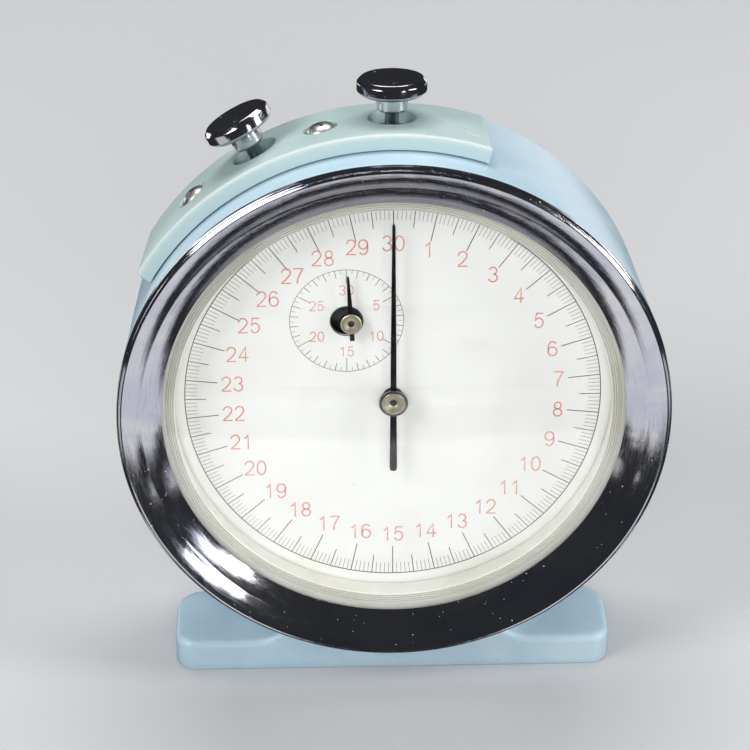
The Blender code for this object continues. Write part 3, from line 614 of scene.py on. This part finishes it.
front_side, back_side = plan_side(True), plan_side(False)
verts, faces = [], []
across = 10
for f, b in zip(front_side, back_side):
    up = foot_section(*f)
    down = foot_section(*b)[::-1]
    row = list(up)
    for k in range(1, across):
        s = k / across
        x = up[-1][0] + (down[0][0] - up[-1][0]) * s
        row.append((x, up[-1][1] + (down[0][1] - up[-1][1]) * s, up[-1][2] + (down[0][2] - up[-1][2]) * s))
    row += down
    verts += row
width = len(up) * 2 + across - 1
rows = len(front_side)
for i in range(rows - 1):
    for j in range(width - 1):
        a = i * width + j
        faces.append((a, a + 1, a + width + 1, a + width))
    faces.append((i * width, (i + 1) * width, (i + 2) * width - 1, (i + 1) * width - 1))
faces.append(tuple(range(width)))
faces.append(tuple((rows - 1) * width + j for j in reversed(range(width))))
foot = build("foot_mould", verts, faces, WORLD, 40)
shell = combine(drum, [foot], "UNION")
bores = [lathe("bore", [(0, 3), (1.9, 3), (1.9, -14), (0, -14)], m, 40, "z") for m in (START, RESET)]
bores += [lathe("bore", [(0, 3), (1.2, 3), (1.2, -14), (0, -14)], m, 32, "z") for m in SCREWS]
shell = combine(shell, bores, "DIFFERENCE", 30)
place(shell, "case", BLUE, "case_plastic", "case_body")

# ------------------------------------------------------------------ button strip
low_front, low_back = drum_radius(STRIP_FRONT) + 0.3, drum_radius(STRIP_BACK) + 0.3
section = rounded([(STRIP_FRONT, low_front, 0.15), (STRIP_FRONT, STRIP_R, 0.55),
                   (STRIP_BACK, STRIP_R - STRIP_TAPER * STRIP_DEPTH, 0.7), (STRIP_BACK, low_back, 0.15)], 6)
stations = []
for end, sign in ((STRIP_LEFT, 1), (STRIP_RIGHT, -1)):
    part = []
    for k in range(7):
        s = STRIP_END_ROUND * (1 - math.cos(math.radians(90 * k / 6)))
        drop = STRIP_END_ROUND - math.sqrt(max(STRIP_END_ROUND ** 2 - (STRIP_END_ROUND - s) ** 2, 0.0))
        part.append((end + sign * math.degrees(s / 60.5), drop))
    stations.append(part)
margin = 0.9                                    # degrees of strip taken by each rounded end
inner = [(STRIP_LEFT + margin + (STRIP_RIGHT - STRIP_LEFT - 2 * margin) * k / 150, 0.0) for k in range(151)]
sections = stations[0] + inner + stations[1][::-1]
verts, faces = [], []
for angle, drop in sections:
    a = math.radians(angle)
    for y, r in section:
        base = low_front + (low_back - low_front) * (y - STRIP_FRONT) / STRIP_DEPTH
        share = min(max((r - base) / 3.0, 0.0), 1.0)
        yy = y + (drop * 0.8 if y < 9 else -drop * 0.8) * share
        rr = r - drop * share
        verts.append((rr * math.sin(a), yy, rr * math.cos(a)))
n = len(section)
for i in range(len(sections) - 1):
    for j in range(n):
        k = (j + 1) % n
        faces.append((i * n + j, i * n + k, (i + 1) * n + k, (i + 1) * n + j))
faces.append(tuple(reversed(range(n))))
faces.append(tuple((len(sections) - 1) * n + j for j in range(n)))
strip = build("strip_moulding", verts, faces, DRUM, 40)
hole = [(0, 4), (6.0, 4), (6.0, 0.25), (5.5, 0.08), (5.22, -0.12), (5.06, -0.35), (5.0, -0.7), (5.0, -8),
        (0, -8)]
recess = [(0, 4), (4.3, 4), (4.3, 0.2), (3.95, 0.04), (3.72, -0.15), (3.6, -0.45), (3.6, -1.7), (1.4, -1.7),
          (1.4, -8), (0, -8)]
cutters = [lathe("window", hole, m, 72, "z") for m in (START, RESET)]
cutters += [lathe("recess", recess, m, 64, "z") for m in SCREWS]
strip = combine(strip, cutters, "DIFFERENCE", 30)
place(strip, "case", SAGE, "strip_plastic", "button_strip")

# round moulding mark near the strip's right end, as a fine raised line
mark = radial_frame(16.6, 6.6)
arc_points = [(MARK_R * math.cos(math.radians(a)), MARK_R * math.sin(math.radians(a)))
              for a in range(150, 291, 7)]
verts, faces = [], []
for i, (x, y) in enumerate(arc_points):
    sag = 61.0 - math.sqrt(61.0 ** 2 - x * x)
    ends = 0.25 if i in (0, len(arc_points) - 1) else 1.0
    for k in range(6):
        a = math.tau * k / 6
        radial = 0.15 * ends * math.cos(a)
        scale = 1 + radial / MARK_R
        verts.append((x * scale, y * scale, -sag - 0.01 + 0.085 * ends * math.sin(a)))
for i in range(len(arc_points) - 1):
    for k in range(6):
        m = (k + 1) % 6
        faces.append((i * 6 + k, i * 6 + m, (i + 1) * 6 + m, (i + 1) * 6 + k))
faces += [tuple(range(6)), tuple((len(arc_points) - 1) * 6 + k for k in reversed(range(6)))]
place(build("strip_mould_mark", verts, faces, mark, 60), "case", SAGE, "strip_plastic")

for i, m in enumerate(SCREWS):
    head = [(0, 0.85), (0.9, 0.8), (1.7, 0.6), (2.4, 0.24), (2.9, -0.25), (3.15, -0.75), (3.2, -1.4),
            (0.9, -1.4), (0.9, -8.6), (0, -8.6)]
    screw = lathe("strip_screw_head_%d" % (i + 1), head, m, 64, "z")
    turn = Matrix.Rotation(math.radians(24 + 31 * i), 4, "Z")
    cross = [block("slot", (-1.7, 1.7), (-0.34, 0.34), (-0.4, 1.5), m @ turn),
             block("slot", (-0.34, 0.34), (-1.7, 1.7), (-0.41, 1.51), m @ turn)]
    screw = combine(screw, cross, "DIFFERENCE", 25)
    place(screw, "case", NICKEL, "chrome", "strip_screw_%d" % (i + 1))


# ------------------------------------------------------------------ push buttons
def button(name, placed, nub):
    """Mushroom head, collar, stem with its shoulder, and the nub that ends it."""
    outline = rounded([(0, HEAD_TOP, 0), (5.0, 8.42, 3.0), (6.55, 8.6, 0.25), (HEAD_R, 7.75, 0.3),
                       (HEAD_R, 5.95, 0.25), (6.6, 5.2, 0.2), (3.3, 5.2, 0.35), (3.3, 2.0, 0.2),
                       (2.9, 1.6, 0.15), (1.5, 1.6, 0.2), (1.5, -19.8, 0), (3.4, -19.8, 0.15),
                       (3.4, -20.8, 0.15), (0.85, -20.8, 0), (0.85, nub, 0.2), (0, nub, 0)], 4)
    return lathe(name, outline, placed, 96, "z", sharp=28)


place(button("start_push", START, -22.4), "start_pusher", CHROME_SMALL, "chrome", "start_button")
place(button("reset_push", RESET, -21.2), "reset_pusher", CHROME_SMALL, "chrome", "reset_button")

# ------------------------------------------------------------------ bezel, crystal and ring
def swell(r0, y0, r1, y1, rise, count=9):
    """Gently convex run between two points of a profile, swelling towards the front."""
    return [(r0 + (r1 - r0) * k / count - 0.5 * rise * math.sin(math.pi * k / count),
             y0 + (y1 - y0) * k / count - rise * math.sin(math.pi * k / count)) for k in range(count + 1)]


rim = [(58.02, -11.72), (58.28, -11.5), (58.36, -11.2), (58.34, -10.95)]
flange = [(58.45, -10.86), (58.75, -10.82), (58.88, -10.72), (BEZEL_R, -9.62), (58.8, -9.5)]
bezel = ([(OPENING_R, -7.3)] + swell(OPENING_R, -7.45, 53.72, -9.66, 0.10)
         + swell(BEZEL_FOLD_R, -9.70, 57.75, -11.70, 0.10) + rim + flange + [(55.5, -9.5), (55.5, -7.3)])
place(lathe("bezel_turned", bezel, DRUM, 256, sharp=14), "case", CHROME, "chrome", "bezel_ring")

sphere = (LENS_R ** 2 + LENS_RISE ** 2) / (2 * LENS_RISE)
dome = []
for k in range(17):
    r = LENS_R * k / 16
    dome.append((r, LENS_FRONT + sphere - math.sqrt(sphere * sphere - r * r)))
under = [(r * 48.0 / LENS_R, y + 1.18) for r, y in reversed(dome)]
edge = [(48.95, -7.0), (53.5, -7.0), (53.5, -6.0), (48.2, -6.0)]
lens = lathe("crystal_lens", dome + edge + under[1:], DRUM, 160)
place(lens, "case", CRYSTAL, "crystal", "crystal")
lens.visible_shadow = False

ring = [(47.2, -0.3), (47.2, -0.9), (46.62, -5.2), (46.66, -5.45), (46.85, -5.66)]
for groove in (47.1, 47.62, 48.15, 48.62):
    ring += [(groove - 0.15, RING_FACE), (groove - 0.06, RING_FACE + 0.36),
             (groove + 0.06, RING_FACE + 0.36), (groove + 0.15, RING_FACE)]
ring += [(55.4, RING_FACE), (55.4, -0.3)]
place(lathe("ring_turned", ring, DRUM, 224, sharp=25), "case", CREAM, "cream_ring", "dial_spacer_ring")

# ------------------------------------------------------------------ dial and its print
dial = flat("dial_disc", [circle(50.0, 220), circle(2.2, 48), circle(WINDOW_R, 64, WINDOW)], 0.6,
            facing(0, 0, 0.3), 0.05)
place(dial, "case", WHITE, "white_dial", "dial_plate")
lip = rounded([(3.42, 0.1, 0), (3.42, -0.07, 0.03), (3.58, -0.07, 0.03), (3.6, 0.02, 0)], 2)
place(lathe("window_lip", lip, DRUM, 72, "y", WINDOW), "case", INK_FINE, "white_dial")


def ticks(center, outer, step, inner_of):
    """Marks every `step` degrees inward from a circle; inner_of gives each one's inner radius and width."""
    out = []
    for i in range(round(360 / step)):
        inner, width = inner_of(i)
        if inner is None:
            continue
        a = math.radians(i * step)
        out.append(([(center[0] + inner * math.sin(a), center[1] + inner * math.cos(a)),
                     (center[0] + outer * math.sin(a), center[1] + outer * math.cos(a))], width, False))
    return out


FIFTH, MINUTE = 1.2, 6.0                        # degrees to the next mark of each scale
main = ticks((0, 0), SCALE_R, FIFTH, lambda i: (SCALE_R * 0.846, 0.18) if i % 10 == 0 else
             ((SCALE_R * 0.9006, 0.16) if i % 5 == 0 else (None, 0)))
fine = ticks((0, 0), SCALE_R, FIFTH, lambda i: (None, 0) if i % 5 == 0 else (SCALE_R * 0.941, 0.10))
sub = ticks(WINDOW, SUB_R, MINUTE, lambda i: (SUB_R - 3.2, 0.12) if i % 10 == 0 else
            ((SUB_R - 1.75, 0.12) if i % 2 == 0 else (None, 0)))
sub_fine = ticks(WINDOW, SUB_R, MINUTE, lambda i: (None, 0) if i % 2 == 0 else (SUB_R - 0.95, 0.09))
dark = main + sub + [(circle(SCALE_R, 240), 0.19, True), (circle(SUB_R, 120, WINDOW), 0.10, True)]
place(strokes("scale_main", dark, -0.018, 0.03), "case", INK, "dark_hands")
place(strokes("scale_fine", fine + sub_fine, -0.016, 0.03), "case", INK_FINE, "dark_hands")


def arc(cx, cy, rx, ry, a0, a1, count=16):
    """Part of an ellipse, from one angle to another."""
    return [(cx + rx * math.cos(math.radians(a0 + (a1 - a0) * i / count)),
             cy + ry * math.sin(math.radians(a0 + (a1 - a0) * i / count))) for i in range(count + 1)]


def oval(cx, cy, rx, ry):
    return arc(cx, cy, rx, ry, 90, 450, 28)[:-1]


six = [[(0.51, 0.86)] + arc(0.31, 0.62, 0.27, 0.38, 62, 176, 12) + arc(0.31, 0.31, 0.27, 0.31, 180, 540, 28)]
DIGITS = {
    "0": [oval(0.30, 0.5, 0.27, 0.5)],
    "1": [[(0.12, 0.76), (0.24, 0.84), (0.35, 1.0), (0.35, 0.0)]],
    "2": [arc(0.30, 0.715, 0.26, 0.285, 172, -30, 18)
          + [(0.30, 0.27), (0.09, 0.09), (0.03, 0.0), (0.57, 0.0)]],
    "3": [arc(0.29, 0.755, 0.225, 0.245, 160, -78, 16) + arc(0.29, 0.265, 0.265, 0.265, 78, -165, 18)],
    "4": [[(0.43, 0.0), (0.43, 1.0), (0.02, 0.27), (0.59, 0.27)]],
    "5": [[(0.53, 1.0), (0.14, 1.0), (0.07, 0.5)] + arc(0.29, 0.33, 0.265, 0.33, 142, -155, 18)],
    "6": six,
    "7": [[(0.03, 1.0), (0.57, 1.0), (0.38, 0.6), (0.26, 0.3), (0.22, 0.0)]],
    "8": [oval(0.30, 0.755, 0.21, 0.245), oval(0.30, 0.262, 0.26, 0.262)],
    "9": [[(0.60 - x, 1.0 - y) for x, y in line] for line in six],
}
CLOSED = {"0": True, "8": True}


def number(value, x, z, height, width):
    """Upright number centred at (x, z)."""
    text = str(value)
    advance = 0.76 * height
    start = x - (advance * (len(text) - 1) + 0.6 * height) / 2
    out = []
    for k, digit in enumerate(text):
        for line in DIGITS[digit]:
            points = [(start + k * advance + u * height, z + (v - 0.5) * height) for u, v in line]
            out.append((points, width, CLOSED.get(digit, False)))
    return out


SUB_NUMBER_R, DIGIT_HEIGHT, SUB_DIGIT_HEIGHT = 7.3, 3.4, 2.2
numbers = []
for value in range(1, 31):
    a = math.radians(12 * value)
    lift = min(max((value - 22) / 7, 0.0), 1.0)
    r = SCALE_R * (0.80 if value < 10 else 0.772 + 0.045 * lift * lift * (3 - 2 * lift))
    numbers += number(value, r * math.sin(a), r * math.cos(a), DIGIT_HEIGHT, 0.31)
for value in range(5, 31, 5):
    a = math.radians(12 * value)
    x, z = WINDOW[0] + SUB_NUMBER_R * math.sin(a), WINDOW[1] + SUB_NUMBER_R * math.cos(a)
    numbers += number(value, x, z, SUB_DIGIT_HEIGHT, 0.22)
place(strokes("numbers_red", numbers, -0.02, 0.03), "case", RED, "white_dial")

# ------------------------------------------------------------------ hands and collets
def mirrored(half):
    """The other half of a symmetric outline, in order."""
    return [(-x, y) for x, y in reversed(half)]


def disc(inner_r, outer_r, back, front):
    """Profile of a hand's flat boss."""
    return rounded([(inner_r, back, 0.03), (inner_r, front, 0.03), (outer_r, front, 0.1),
                    (outer_r, back, 0.1)], 3)


half = [(-0.55, -16.9), (-0.75, -16.5), (-0.8, -15.8), (-0.68, -3.0), (-0.64, 0.0), (-0.62, 10.0),
        (-0.33, 41.6), (-0.2, 42.05)]
hand = half + [(0.0, SECONDS_TIP)] + mirrored(half) + [(0.0, -17.0)]
blade = flat("seconds_blade", [hand], 0.35, facing(0, 0, -2.57), 0.11)
boss = lathe("boss", disc(1.1, SECONDS_BOSS_R, -2.40, -2.76), DRUM, 72)
eye = lathe("eye", [(0, -4), (1.12, -4), (1.12, 0), (0, 0)], DRUM, 40)
blade = combine(blade, [eye], "DIFFERENCE")
blade = combine(blade, [boss], "UNION", 30)
place(blade, "seconds", HAND, "dark_hands", "seconds_hand")
cap = rounded([(3.1, -3.05, 0.05), (3.12, -3.3, 0.1), (2.55, -3.4, 0.1), (2.45, -3.6, 0.1),
               (2.05, -3.62, 0.08), (0.95, -3.16, 0.05), (0.85, -3.05, 0)], 3)
collet = lathe("seconds_cap", cap, DRUM, 96, sharp=24)
place(collet, "seconds", BRASS, "brass", "seconds_collet")
collet.data.materials.append(DARK_RIM)
for face in collet.data.polygons:
    c = face.center
    if math.hypot(c.x, c.z) > 2.5 * MM:
        face.material_index = 1

half = [(-0.5, -4.3), (-0.5, 0.0), (-0.46, 5.0), (-0.24, 10.6), (-0.12, 11.0)]
small = half + [(0.0, MINUTES_TIP)] + mirrored(half)
tilt = Matrix.Rotation(math.radians(MINUTES_ANGLE), 4, "Z")
blade = flat("minutes_blade", [small], 0.3, facing(MINUTES[0], MINUTES[1], -1.3) @ tilt, 0.09)
eye = lathe("eye", [(0, -3), (0.9, -3), (0.9, 0), (0, 0)], DRUM, 36, center=MINUTES)
blade = combine(blade, [eye], "DIFFERENCE")
boss = lathe("boss", disc(0.9, MINUTES_BOSS_R, -1.14, -1.46), DRUM, 64, center=MINUTES)
blade = combine(blade, [boss], "UNION", 30)
place(blade, "minutes", HAND, "dark_hands", "minutes_hand")
cap = rounded([(2.25, -1.75, 0.05), (2.28, -2.05, 0.1), (2.0, -2.2, 0.08), (1.6, -2.2, 0.06),
               (0.72, -1.86, 0.05), (0.7, -1.75, 0)], 3)
collet = lathe("minutes_cap", cap, DRUM, 72, center=MINUTES, sharp=24)
place(collet, "minutes", BRASS_SMALL, "brass", "minutes_collet")

# ------------------------------------------------------------------ back: cover, screws, key
spots = [(COVER_SCREW_R * math.cos(math.radians(a)), COVER_SCREW_R * math.sin(math.radians(a)))
         for a in COVER_ANGLES]
holes = [circle(3.6, 48, BARREL)] + [circle(1.0, 24, c) for c in spots]
cover = flat("back_cover", [circle(COVER_R, 200)] + holes, COVER_THICKNESS, facing(0, 0, COVER_FRONT), 0.18)
place(cover, "case", BLUE, "case_plastic", "rear_cover")
for i, c in enumerate(spots):
    outline = rounded([(0, 24.4, 0), (0.6, 24.4, 0.1), (0.6, 28.6, 0), (1.25, 28.6, 0.05), (1.25, 29.25, 0.2),
                       (0.85, 29.6, 0.3), (0, 29.7, 0)], 3)
    head = lathe("cover_screw_head_%d" % (i + 1), outline, DRUM, 40, "y", c)
    turn = Matrix.Rotation(math.radians(20 + 50 * i), 4, "Y")
    at = DRUM @ Matrix.Translation(Vector((c[0], 29.5, c[1])) * MM) @ turn
    head = combine(head, [block("slot", (-1.6, 1.6), (-0.25, 1.0), (-0.2, 0.2), at)], "DIFFERENCE", 25)
    place(head, "case", STEEL, "steel", "rear_cover_screw_%d" % (i + 1))
outline = rounded([(1.8, 29.0, 0.1), (3.0, 29.0, 0.2), (3.0, 31.6, 0.2), (2.75, 31.9, 0.15), (3.0, 32.2, 0.2),
                   (3.0, 35.5, 0.5), (0, 35.5, 0), (0, 34.4, 0), (1.8, 34.4, 0)], 3)
hub = lathe("winding_key_wings", outline, DRUM, 72, "y", BARREL)
wing = [(3.6, 0.6, 0.6), (6.5, 3.0, 1.5), (9.6, 3.4, 2.0), (11.6, 0.8, 2.0), (11.6, -3.4, 2.0),
        (9.6, -5.2, 2.0), (6.5, -4.6, 1.5), (3.6, -2.4, 0.6)]
wing = rounded(wing + [(-u, v, r) for u, v, r in reversed(wing)], 5)
wings = flat("wings", [wing], 1.8, DRUM @ Matrix.Translation(Vector((BARREL[0], 37.0, BARREL[1])) * MM), 0.4)
place(combine(hub, [wings], "UNION", 30), "winding", KEY, "key_metal", "winding_key")

# ------------------------------------------------------------------ floor, light, camera
mat, t = tree("floor_pale")
soft = noise(t, millimetres(t), 0.004, 2.0, 0.5)
finish_surface(t, Base_Color=blend(t, soft, (0.50, 0.505, 0.515, 1), (0.54, 0.545, 0.555, 1)), Roughness=0.8)
corners = [(-FLOOR_HALF, -FLOOR_HALF, 0), (FLOOR_HALF, -FLOOR_HALF, 0), (FLOOR_HALF, FLOOR_HALF, 0),
           (-FLOOR_HALF, FLOOR_HALF, 0)]
floor = build("floor", corners, [(0, 1, 2, 3)], WORLD)
floor.data.materials.append(mat)
floor.visible_glossy = False

world = bpy.data.worlds.new("studio")
world.use_nodes = True
sky = world.node_tree
dim = sky.nodes["Background"]                   # what lights the object and shows in its mirrors
dim.inputs["Color"].default_value = (0.66, 0.70, 0.78, 1)
dim.inputs["Strength"].default_value = 0.05
pale = sky.nodes.new("ShaderNodeBackground")    # what shows directly behind the object
pale.inputs["Color"].default_value = (0.60, 0.605, 0.62, 1)
path = sky.nodes.new("ShaderNodeLightPath")
either = sky.nodes.new("ShaderNodeMixShader")
sky.links.new(path.outputs["Is Camera Ray"], either.inputs[0])
sky.links.new(dim.outputs[0], either.inputs[1])
sky.links.new(pale.outputs[0], either.inputs[2])
sky.links.new(either.outputs[0], sky.nodes["World Output"].inputs[0])
scene.world = world


def softbox(name, at, aim, size, power):
    """White rectangular area light at one point, aimed at another; metres and watts."""
    light = bpy.data.lights.new(name, "AREA")
    light.shape, light.size, light.size_y = "RECTANGLE", size[0], size[1]
    light.energy = power
    obj = bpy.data.objects.new(name, light)
    scene.collection.objects.link(obj)
    facing_aim = (Vector(aim) - Vector(at)).to_track_quat("-Z", "Y").to_matrix().to_4x4()
    obj.matrix_world = Matrix.Translation(at) @ facing_aim
    obj.visible_camera = False
    return obj


def card(name, at, size, glow):
    """Weak light lying face up just under the floor: only the mirror surfaces show it."""
    above = (at[0], at[1], at[2] + 1.0)
    return softbox(name, at, above, size, glow * math.pi * size[0] * size[1])


softbox("key_left", (-0.80, -0.50, 0.80), (0, 0, 0.06), (0.45, 0.6), 8.0)
softbox("fill_right", (0.95, -0.25, 0.55), (0, 0, 0.06), (0.3, 0.7), 6.5)
softbox("top_back", (0.0, 0.45, 1.1), (0, 0, 0.08), (1.0, 0.45), 9.5)
softbox("front_high", (0.0, -1.45, 0.80), (0, 0, 0.07), (0.9, 0.35), 11.0).visible_glossy = False
softbox("low_right", (0.64, -0.87, 0.19), (0, 0, 0.05), (0.15, 0.28), 0.9)
softbox("sheen_right", (0.55, 0.85, -0.03), (0, 0, 0.10), (0.7, 0.3), 0.8)
softbox("sheen_left", (-0.68, 0.75, -0.03), (0, 0, 0.10), (0.45, 0.3), 0.9)
card("card_front", (0.0, -0.102, -0.004), (0.15, 0.076), 0.95)
card("card_side_left", (-0.27, -0.11, -0.004), (0.26, 0.18), 0.7)
card("card_side_right", (0.27, -0.11, -0.004), (0.26, 0.18), 0.7)
card("card_low", (0.0, -0.024, -0.004), (0.05, 0.022), 0.38)

camera = bpy.data.cameras.new("camera")
camera.lens, camera.sensor_width, camera.clip_end = 141.6, 36.0, 100.0
view = bpy.data.objects.new("camera", camera)
scene.collection.objects.link(view)
elevation, azimuth, roll = math.radians(32.39), math.radians(1.75), math.radians(0.08)
ahead = Vector((math.sin(azimuth) * math.cos(elevation), math.cos(azimuth) * math.cos(elevation),
                -math.sin(elevation)))
right = Vector((math.cos(azimuth), -math.sin(azimuth), 0.0))
up = right.cross(ahead)
right, up = (right * math.cos(roll) + up * math.sin(roll)), (up * math.cos(roll) - right * math.sin(roll))
pose = Matrix((right, up, -ahead)).transposed().to_4x4()
pose.translation = Vector((-0.020165, -0.532708, 0.410714))
view.matrix_world = pose
scene.camera = view
scene.view_settings.view_transform = "Standard"
